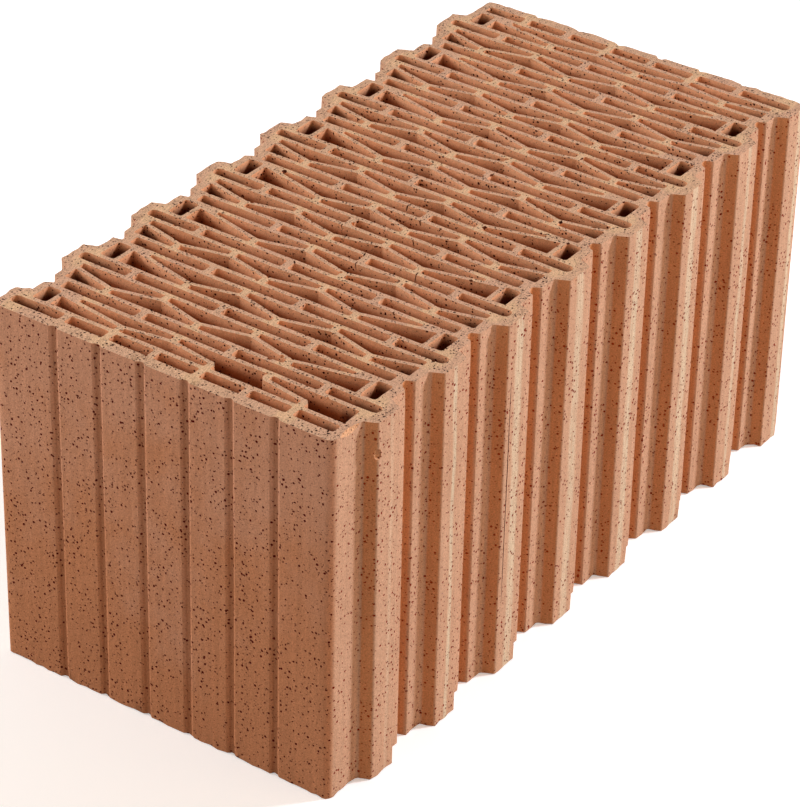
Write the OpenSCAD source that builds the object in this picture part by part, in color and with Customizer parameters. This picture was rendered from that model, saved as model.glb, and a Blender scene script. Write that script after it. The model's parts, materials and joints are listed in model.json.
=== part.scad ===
// Vertically perforated clay block with ground bed faces, tongued sides and grooved end faces.
// X runs along the block, Y across it and Z up; the origin is in the middle of the bottom face.
// The section is the same over the whole height, as it leaves the extruder's mouthpiece.

/* [Block] */
// Length of the block between its end faces
block_l = 500; // [460:1:560]
// Width of the block between its side shoulders, without the tongues
shoulder_w = 236; // [220:1:260]
// Height of the block between its ground bed faces
block_h = 249; // [60:1:300]
// Rounding of the four upright corners
corner_r = 5; // [2:0.5:6]

/* [Slots] */
// Number of slot columns along the block
column_count = 16; // [12:2:18]
// Number of rows of webs across the block
row_count = 6; // [4:2:6]
// Clear width of a slot
slot_w = 7.8; // [6:0.1:8.5]
// Thickness of the rib between a slot and a zigzag bay
rib_t = 3.2; // [2.4:0.1:4]
// Thickness of the wall at an end face, groove not counted
end_wall = 8.2; // [6:0.1:12]
// Thickness of the short web that crosses a slot
cross_web_t = 4.5; // [3:0.1:6]
// Distance from the outermost row of webs to the side shoulder
edge_bay = 36.5; // [34:0.5:42]
// Rounding of the slot corners
slot_r = 1.6; // [0.5:0.1:2.4]
// Rounding of the slot end that lies in a tongue
tongue_slot_r = 2.9; // [1:0.1:2.9]

/* [Zigzag bays] */
// Clear width of the first and the last bay
end_bay_w = 15.2; // [13.5:0.1:18]
// Thickness of the zigzag web, measured along the block
zigzag_t = 2.9; // [2:0.1:3.6]
// Height of the stub that ties the zigzag to a rib
stub_h = 4.5; // [3:0.1:6]
// Width of the blunt end of a cell beside a stub
nose_w = 4.2; // [3:0.1:4.8]
// Distance that the last cell runs past the outermost row before the zigzag joins the rib
merge_rise = 4.8; // [2:0.1:6]
// Clear width of the small hole beside the side wall, across the block
side_hole_w = 10.5; // [8:0.1:12]
// Thickness of the web between that hole and the next cell
side_web_t = 3; // [2:0.1:4]
// Rounding of the cell corners
cell_r = 0.9; // [0.3:0.1:1]
// Rounding of the corners of the small hole
side_hole_r = 1.8; // [0.5:0.1:3]

/* [Sides] */
// Wall left between a side face and the nearest hole
rim_t = 6.5; // [5:0.1:8]
// Height of a tongue above the shoulder
tongue_h = 8.7; // [6:0.1:11]
// Width of the flat face of a tongue
tongue_flat = 21; // [16:0.5:24]
// Width of a tongue at its foot
tongue_foot = 29; // [26:0.5:32]
// Rounding of the tongue edges and feet
tongue_r = 1.8; // [0.5:0.1:3]
// Width of a notch at its mouth
notch_w = 9; // [7:0.1:11]
// Width of a notch at its floor
notch_floor = 4.6; // [3:0.1:6]
// Depth of a notch below the shoulder
notch_d = 5.2; // [3:0.1:6.5]
// Rounding of the notch edges
notch_r = 1.2; // [0.3:0.1:1.5]

/* [End faces] */
// Distance between two end grooves
groove_pitch = 31.65; // [30:0.05:33]
// How far the end grooves as a whole lie off the middle, towards the tongue at that end
groove_shift = 1; // [0:0.1:4]
// Width of an end groove at its mouth
groove_w = 6.6; // [5:0.1:10]
// Width of an end groove at its floor
groove_floor = 1.6; // [1.2:0.1:4]
// Depth of an end groove
groove_d = 1.8; // [0.8:0.1:2.5]
// Rounding of the end groove edges
groove_r = 1.5; // [0.3:0.1:2]

/* [Hidden] */

// Fired clay
clay_colour = "peru";

// Straight steps that make up a rounded corner of the outline and of a hole
outline_steps = 3;
hole_steps = 2;

// Zigzag webs that the block lacks, as [bay, row under the web]. The row is odd, and -1 stands for the
// side wall that the last web would reach.
lost_webs = [[0, -1], [0, 1]];

// Half sizes of the outline
half_l = block_l / 2;
shoulder_y = shoulder_w / 2;
tongue_y = shoulder_y + tongue_h;

// Columns and bays along the block: the inner bays share what the walls, slots and ribs leave
last_column = column_count - 1;
last_bay = column_count - 2;
inner_bay_count = column_count - 3;
solid_and_slots_l = 2 * (end_wall + end_bay_w) + column_count * slot_w + 2 * last_column * rib_t;
inner_bay_w = (block_l - solid_and_slots_l) / inner_bay_count;
end_column_x = half_l - end_wall - slot_w / 2;
next_column_x = end_column_x - slot_w - 2 * rib_t - end_bay_w;
column_pitch = inner_bay_w + slot_w + 2 * rib_t;

// Rows across the block
last_row = row_count - 1;
row_pitch = (shoulder_w - 2 * edge_bay) / last_row;

// Places across the block where the holes end
wall_y = shoulder_y - rim_t;
notch_slot_y = shoulder_y - notch_d - rim_t;
tongue_slot_y = tongue_y - rim_t;
side_hole_y = wall_y - side_hole_w;
side_web_y = side_hole_y - side_web_t;

// Run of the web's slope between a stub and the next row, and half a stub as a share of it
half_stub = stub_h / 2;
web_run = row_pitch - half_stub;
stub_share = half_stub / web_run;

function is_even(i) = i % 2 == 0;

// Even columns have their tongue on the +Y side, and odd ones are their mirror image
function side_of(i) = is_even(i) ? 1 : -1;

function is_end(k) = k == 0 || k == last_column;

function column_x(k) =
    k == 0 ? -end_column_x :
    k == last_column ? end_column_x :
    -next_column_x + (k - 1) * column_pitch;

function row_y(j) = (j - last_row / 2) * row_pitch;

function groove_y(j) = (j - last_row / 2) * groove_pitch - groove_shift;

function bay_w(b) = b == 0 || b == last_bay ? end_bay_w : inner_bay_w;

// Widest reach of a zigzag cell from its rib, so that the web between two cells keeps its thickness
function cell_reach(w) = (w - zigzag_t - nose_w * (1 + stub_share)) / (1 - stub_share);

// Whether the web over row j of bay b is one that the block lacks
function is_lost(b, j) = [for (web = lost_webs) if (web == [b, j]) web] != [];

function flat_point(p) = [p.x, p.y];

function along(v) = v / norm(v);

// Arc in place of corner i of an outline whose corners are [x, y, radius]
function corner_arc(corners, i, steps) =
    let (
        count = len(corners),
        at = flat_point(corners[i]),
        r = corners[i][2],
        back = along(flat_point(corners[(i + count - 1) % count]) - at),
        ahead = along(flat_point(corners[(i + 1) % count]) - at),
        half_angle = acos(back * ahead) / 2,
        centre = at + along(back + ahead) * r / sin(half_angle),
        start = at + back * r / tan(half_angle) - centre,
        end = at + ahead * r / tan(half_angle) - centre,
        from = atan2(start.y, start.x),
        sweep = atan2(cross(start, end), start * end)
    )
    [for (s = [0 : steps]) centre + r * [cos(from + sweep * s / steps), sin(from + sweep * s / steps)]];

function rounded(corners, steps) =
    [for (i = [0 : len(corners) - 1]) each corner_arc(corners, i, steps)];

// Corners of the side at -Y, walked along +X
function tongue_corners(x) = [
    [x - tongue_foot / 2, -shoulder_y, tongue_r],
    [x - tongue_flat / 2, -tongue_y, tongue_r],
    [x + tongue_flat / 2, -tongue_y, tongue_r],
    [x + tongue_foot / 2, -shoulder_y, tongue_r]
];

function notch_corners(x) = [
    [x - notch_w / 2, -shoulder_y, notch_r],
    [x - notch_floor / 2, notch_d - shoulder_y, notch_r],
    [x + notch_floor / 2, notch_d - shoulder_y, notch_r],
    [x + notch_w / 2, -shoulder_y, notch_r]
];

// Corners of a groove in the +X end face, walked along +Y
function groove_corners(y) = [
    [half_l, y - groove_w / 2, groove_r],
    [half_l - groove_d, y - groove_floor / 2, groove_r],
    [half_l - groove_d, y + groove_floor / 2, groove_r],
    [half_l, y + groove_w / 2, groove_r]
];

// Half of the outline: the -Y side from its shoulder corner to its tongue corner, then the +X end face
corner_tongue_x = column_x(last_column);
half_outline = [
    [-half_l, -shoulder_y, corner_r],
    for (k = [1 : last_column - 1]) each is_even(k) ? notch_corners(column_x(k)) : tongue_corners(column_x(k)),
    [corner_tongue_x - tongue_foot / 2, -shoulder_y, tongue_r],
    [corner_tongue_x - tongue_flat / 2, -tongue_y, tongue_r],
    [half_l, -tongue_y, corner_r],
    for (j = [0 : last_row]) each groove_corners(groove_y(j))
];

// The other half is the same one turned by half a turn about Z
outline = concat(half_outline, [for (c = half_outline) [-c.x, -c.y, c[2]]]);

// Corners of one slot, between two places across the block
function slot_corners(low_y, high_y, high_r) = [
    [-slot_w / 2, low_y, slot_r],
    [slot_w / 2, low_y, slot_r],
    [slot_w / 2, high_y, high_r],
    [-slot_w / 2, high_y, high_r]
];

// The slots of one column. Webs cross it at every second row, or at every row in an end column.
function column_slots(k) =
    let (
        low_y = is_end(k) ? -wall_y : -notch_slot_y,
        web_rows = [for (j = [0 : last_row]) if (is_end(k) || !is_even(j)) j],
        last = len(web_rows)
    )
    [for (i = [0 : last]) slot_corners(
        i == 0 ? low_y : row_y(web_rows[i - 1]) + cross_web_t / 2,
        i == last ? tongue_slot_y : row_y(web_rows[i]) - cross_web_t / 2,
        i == last ? tongue_slot_r : slot_r
    )];

function turned(corners) = [for (i = [len(corners) - 1 : -1 : 0]) corners[i]];

// Blunt end of a cell under (-1) or over (1) the stub of row j, from the rib outwards.
// A cell lies on the rib at rib_x and reaches out to +X (1) or -X (-1).
function nose(rib_x, out, j, way) = [
    [rib_x, row_y(j) + way * half_stub, cell_r],
    [rib_x + out * nose_w, row_y(j) + way * half_stub, cell_r]
];

// Tip of a cell, where the zigzag stands on the stub of row j of the opposite rib
function tip(rib_x, out, reach, j) = [[rib_x + out * reach, row_y(j), cell_r]];

// Whole cell between the stubs of rows j and j + 2 of one rib
function kite(rib_x, out, reach, j) = concat(
    nose(rib_x, out, j, 1),
    tip(rib_x, out, reach, j + 1),
    turned(nose(rib_x, out, j + 2, -1))
);

// The two cells beside the web over row j, open to each other where that web is lost
function joined_kites(w, reach, j) = concat(
    nose(0, 1, j - 1, 1),
    tip(0, 1, reach, j),
    turned(nose(w, -1, j, 1)),
    nose(w, -1, j + 2, -1),
    tip(w, -1, reach, j + 1),
    turned(nose(0, 1, j + 1, -1))
);

// Cells at the side wall that the zigzag runs into
function wall_cells(b, w, reach, slope) =
    let (
        rise = row_y(0) + wall_y,
        left = [[0, -wall_y, cell_r], [nose_w + slope * (rise - half_stub), -wall_y, cell_r]],
        right = [[w - reach + slope * rise, -wall_y, cell_r], [w, -wall_y, cell_r]],
        left_nose = turned(nose(0, 1, 0, -1)),
        right_nose = concat(nose(w, -1, 1, -1), tip(w, -1, reach, 0))
    )
    is_lost(b, -1)
        ? [concat([left[0], right[1]], right_nose, left_nose)]
        : [concat(left, left_nose), concat(right, right_nose)];

// Cells at the other side wall: the zigzag joins the rib at w there, short of a small hole
function merge_cells(w, reach, slope) =
    let (
        row = last_row - 1,
        merge_y = row_y(last_row) + merge_rise,
        left_x = nose_w + slope * (side_web_y - row_y(row) - half_stub),
        right_x = w - reach + slope * (merge_y - row_y(row))
    )
    [
        concat(nose(0, 1, row, 1), [[left_x, side_web_y, cell_r], [0, side_web_y, cell_r]]),
        concat(
            turned(nose(w, -1, row - 1, 1)),
            [[w, merge_y, cell_r], [right_x, merge_y, cell_r]],
            tip(w, -1, reach, row)
        ),
        [
            [0, side_hole_y, side_hole_r],
            [w, side_hole_y, side_hole_r],
            [w, wall_y, side_hole_r],
            [0, wall_y, side_hole_r]
        ]
    ];

// The cells of one bay, from the rib at 0 to the rib at its clear width.
// Even rows have their stub on the rib at 0, and odd rows on the other rib.
function bay_cells(b) =
    let (
        w = bay_w(b),
        reach = cell_reach(w),
        slope = (reach - nose_w) / web_run
    )
    concat(
        wall_cells(b, w, reach, slope),
        [for (j = [0 : 2 : last_row - 3]) if (!is_lost(b, j + 1)) kite(0, 1, reach, j)],
        [for (j = [1 : 2 : last_row - 4]) is_lost(b, j) ? joined_kites(w, reach, j) : kite(w, -1, reach, j)],
        merge_cells(w, reach, slope)
    );

// Sections of the holes whose corners are listed, at x, mirrored across the block where side is -1
module hole_sections(x, side, holes) {
    translate([x, 0])
    for (corners = holes)
        polygon(rounded([for (c = corners) [c.x, side * c.y, c[2]]], hole_steps));
}

// The fired block
module clay_block() {
    color(clay_colour)
    linear_extrude(block_h)
    difference() {
        polygon(rounded(outline, outline_steps));
        for (k = [0 : last_column])
            hole_sections(column_x(k), side_of(k), column_slots(k));
        for (b = [0 : last_bay])
            hole_sections(column_x(b) + slot_w / 2 + rib_t, side_of(b), bay_cells(b));
    }
}

clay_block();
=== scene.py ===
"""A perforated clay block, dressed as fired clay: worn edges, wavering webs, pores, drawn skin and ground beds."""

import json
import logging
import math
import random
from dataclasses import dataclass, field
from enum import Enum, IntEnum

import bmesh
import bpy
from mathutils import Matrix, Vector

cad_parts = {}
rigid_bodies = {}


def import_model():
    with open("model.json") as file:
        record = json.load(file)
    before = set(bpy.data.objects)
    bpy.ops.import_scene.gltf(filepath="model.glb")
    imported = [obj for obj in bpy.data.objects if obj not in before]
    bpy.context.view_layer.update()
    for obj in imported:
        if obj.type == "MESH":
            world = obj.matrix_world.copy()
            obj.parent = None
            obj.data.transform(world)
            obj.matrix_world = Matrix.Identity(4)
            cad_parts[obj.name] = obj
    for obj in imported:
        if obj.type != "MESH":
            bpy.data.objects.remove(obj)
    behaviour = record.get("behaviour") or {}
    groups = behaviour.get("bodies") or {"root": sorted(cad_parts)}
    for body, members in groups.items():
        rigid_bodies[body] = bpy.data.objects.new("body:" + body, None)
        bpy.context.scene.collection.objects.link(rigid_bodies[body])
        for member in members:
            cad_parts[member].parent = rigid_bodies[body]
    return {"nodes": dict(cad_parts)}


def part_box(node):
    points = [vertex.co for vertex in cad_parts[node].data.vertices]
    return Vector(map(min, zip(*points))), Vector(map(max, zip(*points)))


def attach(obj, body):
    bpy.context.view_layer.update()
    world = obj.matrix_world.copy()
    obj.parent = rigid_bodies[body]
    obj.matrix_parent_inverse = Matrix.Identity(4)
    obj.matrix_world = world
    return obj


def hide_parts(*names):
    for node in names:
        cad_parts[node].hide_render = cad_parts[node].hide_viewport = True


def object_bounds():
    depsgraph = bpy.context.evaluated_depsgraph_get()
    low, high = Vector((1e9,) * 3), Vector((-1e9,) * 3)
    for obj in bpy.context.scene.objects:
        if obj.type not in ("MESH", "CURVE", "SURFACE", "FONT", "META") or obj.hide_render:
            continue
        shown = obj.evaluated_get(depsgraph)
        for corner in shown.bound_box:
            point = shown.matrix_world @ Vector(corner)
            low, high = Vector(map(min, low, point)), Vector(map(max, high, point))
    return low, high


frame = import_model()
CAD_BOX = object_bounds()

LOG = logging.getLogger("clay_block")
SEED = 7
MM = 0.001

# Points this near each other are one, and points this near a bed's height lie in the bed
SAME_POINT = 0.001 * MM
SAME_LEVEL = 0.01 * MM

Colour = tuple[float, float, float]
Place = tuple[float, float, float]
Span = tuple[float, float]
Socket = bpy.types.NodeSocket

WHITE: Colour = (1.0, 1.0, 1.0)


class Region(IntEnum):
    """Kinds of surface on the block, in the order of its material slots."""

    BED = 0
    SKIN = 1
    HOLE = 2
    BREAK = 3
    CRACK = 4


class ScarKind(Enum):
    """How the clay is broken at one place: the kind of surface that is left and how uneven it is."""

    CHIP = (Region.BREAK, 0.7 * MM)
    CRACK = (Region.CRACK, 0.2 * MM)

    @property
    def region(self) -> Region:
        """Gives the kind of surface that is left."""
        return self.value[0]

    @property
    def roughness(self) -> float:
        """Gives the swing of the uneven surface in metres."""
        return self.value[1]


class Way(Enum):
    """Directions in which part of a mesh can be pushed."""

    ALONG = "X"
    ACROSS = "Y"
    NORMAL = "NORMAL"


def srgb(red: int, green: int, blue: int) -> Colour:
    """Turns a colour as it looks on screen into the renderer's linear values.

    Args:
        red: Red from 0 to 255.
        green: Green from 0 to 255.
        blue: Blue from 0 to 255.

    Returns:
        The colour in linear values from 0 to 1.
    """
    def linear(level: int) -> float:
        """Gives one channel's linear value."""
        share = level / 255
        return share / 12.92 if share <= 0.04045 else ((share + 0.055) / 1.055) ** 2.4

    return (linear(red), linear(green), linear(blue))


class Bench:
    """Short calls for work on one object with Blender's own tools."""

    @staticmethod
    def take(piece: bpy.types.Object) -> None:
        """Makes a piece the only selected one and the active one."""
        if bpy.context.mode != "OBJECT":
            bpy.ops.object.mode_set(mode="OBJECT")
        bpy.ops.object.select_all(action="DESELECT")
        bpy.context.view_layer.objects.active = piece
        piece.select_set(True)

    @staticmethod
    def edit(piece: bpy.types.Object, kind: str = "FACE") -> bmesh.types.BMesh:
        """Opens a piece in edit mode with nothing selected.

        Args:
            piece: The piece to open.
            kind: What is selected: VERT, EDGE or FACE.

        Returns:
            The mesh as it is open in edit mode.
        """
        Bench.take(piece)
        bpy.ops.object.mode_set(mode="EDIT")
        bpy.ops.mesh.select_mode(type=kind)
        bpy.ops.mesh.select_all(action="DESELECT")
        return bmesh.from_edit_mesh(piece.data)

    @staticmethod
    def show(piece: bpy.types.Object, mesh: bmesh.types.BMesh) -> None:
        """Hands a selection that was made in code to the tools."""
        mesh.select_flush_mode()
        bmesh.update_edit_mesh(piece.data, loop_triangles=False, destructive=False)

    @staticmethod
    def close() -> None:
        """Leaves edit mode."""
        bpy.ops.object.mode_set(mode="OBJECT")

    @staticmethod
    def apply(piece: bpy.types.Object, modifier: bpy.types.Modifier) -> None:
        """Applies one modifier to its piece."""
        Bench.take(piece)
        bpy.ops.object.modifier_apply(modifier=modifier.name)


@dataclass(frozen=True)
class Waver:
    """A soft uneven push on part of a mesh.

    Attributes:
        group: Name of the vertex group that moves.
        way: Direction of the push.
        grain: Size of the bumps in metres.
        reach: Full swing of the push in metres.
        level: Tone that stays where it is: 0.5 pushes both ways, 1 only inwards.
        contrast: How strongly the bumps differ.
    """

    group: str
    way: Way
    grain: float
    reach: float
    level: float = 0.5
    contrast: float = 1.6

    def push(self, piece: bpy.types.Object) -> None:
        """Moves the mesh once and leaves no modifier behind."""
        clouds = bpy.data.textures.new(f"{self.group}_{self.way.value}", "CLOUDS")
        clouds.noise_scale = self.grain
        clouds.noise_depth = 1
        clouds.contrast = self.contrast
        clouds.use_clamp = True
        modifier = piece.modifiers.new(clouds.name, "DISPLACE")
        modifier.texture = clouds
        modifier.texture_coords = "LOCAL"
        modifier.direction = self.way.value
        modifier.strength = self.reach
        modifier.mid_level = self.level
        modifier.vertex_group = self.group
        Bench.apply(piece, modifier)


@dataclass(frozen=True)
class Scar:
    """One place where the fired clay is broken.

    Attributes:
        kind: How it is broken.
        place: Middle of the broken place.
        reach: Half its length, width and height.
        turn: Turn about the upright axis in degrees.
        lean: Lean along the block's length in degrees.
        tip: Lean across the block's length in degrees.
        fineness: How finely its surface is divided.
    """

    kind: ScarKind
    place: Place
    reach: Place
    turn: float = 0.0
    lean: float = 0.0
    tip: float = 0.0
    fineness: int = 3

    def add_to_edit(self) -> None:
        """Adds the broken-off body to the mesh that is open in edit mode."""
        turn = tuple(math.radians(angle) for angle in (self.tip, self.lean, self.turn))
        bpy.ops.mesh.primitive_ico_sphere_add(
            subdivisions=self.fineness, radius=1, location=self.place, rotation=turn, scale=self.reach
        )


SCARS: tuple[Scar, ...] = (
    Scar(ScarKind.CHIP, (-0.2350, -0.1198, 0.2502), (0.0112, 0.0040, 0.0049), turn=3, fineness=4),
    Scar(ScarKind.CHIP, (-0.2190, -0.1263, 0.2280), (0.0027, 0.0025, 0.0037), turn=25),
    Scar(ScarKind.CHIP, (-0.0493, 0.0142, 0.2490), (0.0013, 0.0010, 0.0021)),
    Scar(ScarKind.CHIP, (-0.0673, 0.0318, 0.2493), (0.0017, 0.0012, 0.0013), turn=60),
    Scar(ScarKind.CRACK, (-0.0751, -0.0128, 0.2490), (0.0019, 0.0005, 0.0020), turn=20, tip=14),
    Scar(ScarKind.CRACK, (-0.0864, -0.0148, 0.2487), (0.0022, 0.0004, 0.0046), turn=8, tip=-9),
    Scar(ScarKind.CRACK, (-0.1076, 0.0146, 0.2487), (0.0017, 0.0005, 0.0040), turn=45, tip=12),
    Scar(ScarKind.CRACK, (-0.0546, 0.0184, 0.2480), (0.0011, 0.0004, 0.0030), tip=-12),
    Scar(ScarKind.CRACK, (-0.0341, 0.0287, 0.2490), (0.0014, 0.0006, 0.0015), turn=-30),
    Scar(ScarKind.CRACK, (-0.0113, 0.0005, 0.2490), (0.0024, 0.0005, 0.0046), turn=-12, tip=10),
    Scar(ScarKind.CRACK, (-0.0228, -0.0161, 0.2485), (0.0011, 0.0005, 0.0026), tip=-10),
    Scar(ScarKind.CRACK, (-0.0751, -0.0503, 0.2475), (0.0022, 0.0004, 0.0060), turn=12, tip=7),
    Scar(ScarKind.CRACK, (-0.0437, -0.0262, 0.2470), (0.0010, 0.0004, 0.0034), turn=15, tip=-14),
    Scar(ScarKind.CRACK, (-0.1295, -0.0185, 0.2470), (0.0024, 0.0004, 0.0056), turn=-10, tip=-8),
    Scar(ScarKind.CRACK, (-0.0866, -0.1267, 0.1310), (0.0004, 0.0012, 0.0820), lean=0.3, fineness=4),
)


@dataclass
class FiredBlock:
    """The block itself: a worn copy of its solid, with wavering webs, crumbled edges and chips.

    Attributes:
        node: The CAD node that the block stands for.
        name: Name of the finished piece.
        flat_angle: Triangles that meet at less than this many degrees become one face.
        bed_slope: Least upright part of a bed face's normal.
        longest_step: Longest straight step round a hole or along the outline.
        level_shares: Heights of the level cuts as shares of the block's height.
        rim_depth: Depth below a bed within which its rim lies.
        smooth_angle: Edges flatter than this many degrees are shaded smooth.
        wavers: Pushes on the webs and on the skin.
        crumble: Push on the outer edges of the beds.
        scar_grain: Size of the bumps on a broken place.
        crumb_count: How many small scars the edges of the beds get.
        crumb_gap: Least distance between scars.
        crumb_size: Smallest and largest half size of a small scar in millimetres.
        crumb_spread: Least and largest share of that size along the bed.
        crumb_depth: Least and largest share of that size in height.
        crumb_fineness: How finely a small scar's surface is divided.
        levels: Heights of the lower and the upper bed.
        piece: The piece that is made.
    """

    node: str = "clay_block"
    name: str = "fired_block"
    flat_angle: float = 0.2
    bed_slope: float = 0.9
    longest_step: float = 7 * MM
    level_shares: tuple[float, ...] = (0.04, 0.5, 0.96)
    rim_depth: float = 1 * MM
    smooth_angle: float = 50
    wavers: tuple[Waver, ...] = (
        Waver("holes", Way.ALONG, 31 * MM, 0.7 * MM),
        Waver("holes", Way.ACROSS, 23 * MM, 0.6 * MM),
        Waver("skin", Way.NORMAL, 60 * MM, 0.5 * MM, level=1.0),
    )
    crumble: Waver = Waver("edges", Way.NORMAL, 3 * MM, 0.8 * MM, level=1.0, contrast=2.5)
    scar_grain: float = 1.7 * MM
    crumb_count: int = 300
    crumb_gap: float = 5 * MM
    crumb_size: Span = (0.5, 1.2)
    crumb_spread: Span = (0.7, 1.6)
    crumb_depth: Span = (0.5, 1.1)
    crumb_fineness: int = 2
    levels: Span = field(init=False)
    piece: bpy.types.Object = field(init=False)

    def build(self) -> bpy.types.Object:
        """Makes the block's mesh.

        Returns:
            The finished piece, before its materials.
        """
        self.copy_solid()
        self.mark_regions()
        self.cut_steps()
        self.group_regions()
        for waver in self.wavers:
            waver.push(self.piece)
        self.refill_beds()
        self.crumble.push(self.piece)
        scars = [*SCARS, *self.edge_scars()]
        for kind in ScarKind:
            self.break_off(kind, [scar for scar in scars if scar.kind is kind])
        self.smooth()
        return self.piece

    def copy_solid(self) -> None:
        """Copies the CAD node's triangles, merges them and joins them into whole faces."""
        low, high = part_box(self.node)
        self.levels = (low.z, high.z)
        mesh = frame["nodes"][self.node].data.copy()
        mesh.name = self.name
        mesh.materials.clear()
        for region in Region:
            mesh.materials.append(bpy.data.materials.new(region.name.lower()))
        self.piece = bpy.data.objects.new(self.name, mesh)
        bpy.context.scene.collection.objects.link(self.piece)
        Bench.edit(self.piece)
        bpy.ops.mesh.select_all(action="SELECT")
        bpy.ops.mesh.customdata_custom_splitnormals_clear()
        bpy.ops.mesh.remove_doubles(threshold=SAME_POINT)
        bpy.ops.mesh.dissolve_limited(angle_limit=math.radians(self.flat_angle))
        Bench.close()

    def mark_regions(self) -> None:
        """Tells the bed faces, the outer skin and the hole walls apart."""
        mesh = Bench.edit(self.piece)
        for face in mesh.faces:
            face.material_index = Region.BED if abs(face.normal.z) > self.bed_slope else Region.HOLE
        walls = [face for face in mesh.faces if face.material_index == Region.HOLE]
        end_face = min(walls, key=lambda face: face.calc_center_median().x)
        end_face.select_set(True)
        Bench.show(self.piece, mesh)
        bpy.ops.mesh.select_linked(delimit={"MATERIAL"})
        self.piece.active_material_index = Region.SKIN
        bpy.ops.object.material_slot_assign()
        Bench.close()

    def cut_steps(self) -> None:
        """Cuts the walls into short steps, along the outline of each hole and over the height."""
        low, high = self.levels
        while True:
            mesh = Bench.edit(self.piece, "EDGE")
            long_edges = [edge for edge in mesh.edges if self.is_long(edge)]
            if not long_edges:
                break
            for edge in long_edges:
                edge.select_set(True)
            Bench.show(self.piece, mesh)
            bpy.ops.mesh.subdivide(number_cuts=1)
        for share in self.level_shares:
            bpy.ops.mesh.select_all(action="SELECT")
            height = low + share * (high - low)
            bpy.ops.mesh.bisect(plane_co=(0, 0, height), plane_no=(0, 0, 1), threshold=SAME_POINT)
        Bench.close()

    def is_long(self, edge: bmesh.types.BMEdge) -> bool:
        """Tells whether a level edge of a wall is longer than the longest step."""
        start, end = (corner.co for corner in edge.verts)
        level = abs(start.z - end.z) < SAME_LEVEL
        on_wall = any(face.material_index != Region.BED for face in edge.link_faces)
        return level and on_wall and edge.calc_length() > self.longest_step

    def group_regions(self) -> None:
        """Puts the points of the hole walls, of the skin and of the beds' rim in a vertex group each."""
        for group, region in (("holes", Region.HOLE), ("skin", Region.SKIN)):
            faces = [face for face in self.piece.data.polygons if face.material_index == region]
            points = sorted({point for face in faces for point in face.vertices})
            self.piece.vertex_groups.new(name=group).add(points, 1.0, "REPLACE")
        rim = [point for point in points if self.is_on_bed(self.piece.data.vertices[point])]
        self.piece.vertex_groups.new(name="edges").add(rim, 1.0, "REPLACE")

    def is_on_bed(self, point: bmesh.types.BMVert | bpy.types.MeshVertex) -> bool:
        """Tells whether a point lies in the plane of one of the two beds."""
        return min(abs(point.co.z - level) for level in self.levels) < SAME_LEVEL

    def refill_beds(self) -> None:
        """Fills the beds afresh between all their edges, so that no face reaches over a hole."""
        mesh = Bench.edit(self.piece)
        for face in mesh.faces:
            face.select_set(face.material_index == Region.BED)
        Bench.show(self.piece, mesh)
        bpy.ops.mesh.delete(type="FACE")
        Bench.close()
        for level in self.levels:
            mesh = Bench.edit(self.piece, "EDGE")
            for edge in mesh.edges:
                edge.select_set(edge.is_boundary and abs(edge.verts[0].co.z - level) < self.rim_depth)
            Bench.show(self.piece, mesh)
            bpy.ops.mesh.fill(use_beauty=True)
            self.piece.active_material_index = Region.BED
            bpy.ops.object.material_slot_assign()
            Bench.close()

    def edge_scars(self) -> list[Scar]:
        """Picks places along the edges of both beds where a crumb has broken off or a pore has been ground open.

        Returns:
            The small scars.
        """
        skin = self.piece.vertex_groups["skin"].index
        edge_points = [
            (point.co.copy(), any(share.group == skin for share in point.groups))
            for point in self.piece.data.vertices if self.is_on_bed(point)
        ]
        random.shuffle(edge_points)
        scars: list[Scar] = []
        for point, on_outline in edge_points:
            if all((point - Vector(other.place)).length > self.crumb_gap for other in [*scars, *SCARS]):
                scars.append(self.crumb(tuple(point), on_outline))
            if len(scars) == self.crumb_count:
                break
        return scars

    def crumb(self, place: Place, on_outline: bool) -> Scar:
        """Draws one small scar.

        Args:
            place: Its middle.
            on_outline: Whether it lies on the outer edge of a bed, where only chips are.

        Returns:
            The scar.
        """
        size = random.uniform(*self.crumb_size) * MM
        spans = (self.crumb_spread, self.crumb_spread, self.crumb_depth)
        reach = tuple(size * random.uniform(*span) for span in spans)
        kind = ScarKind.CHIP if on_outline else random.choice(list(ScarKind))
        return Scar(kind, place, reach, turn=random.uniform(0, 180), fineness=self.crumb_fineness)

    def break_off(self, kind: ScarKind, scars: list[Scar]) -> None:
        """Cuts scars of one kind out of the block, with their own kind of surface on the cut.

        Args:
            kind: The kind of scar.
            scars: The places that are broken in this way.
        """
        cutter = bpy.data.objects.new("cutter", bpy.data.meshes.new("cutter"))
        bpy.context.scene.collection.objects.link(cutter)
        for region in Region:
            cutter.data.materials.append(self.piece.data.materials[region])
        Bench.edit(cutter)
        for scar in scars:
            scar.add_to_edit()
        bpy.ops.mesh.select_all(action="SELECT")
        cutter.active_material_index = kind.region
        bpy.ops.object.material_slot_assign()
        Bench.close()
        cutter.vertex_groups.new(name="scars").add(list(range(len(cutter.data.vertices))), 1.0, "REPLACE")
        Waver("scars", Way.NORMAL, self.scar_grain, kind.roughness).push(cutter)
        modifier = self.piece.modifiers.new("break_off", "BOOLEAN")
        modifier.object = cutter
        modifier.operation = "DIFFERENCE"
        modifier.solver = "MANIFOLD"
        modifier.material_mode = "TRANSFER"
        Bench.apply(self.piece, modifier)
        bpy.data.objects.remove(cutter)

    def smooth(self) -> None:
        """Shades round corners smooth and keeps large faces flat."""
        Bench.take(self.piece)
        bpy.ops.object.shade_smooth_by_angle(angle=math.radians(self.smooth_angle))
        modifier = self.piece.modifiers.new("flat_faces", "WEIGHTED_NORMAL")
        modifier.keep_sharp = True
        Bench.apply(self.piece, modifier)

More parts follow.
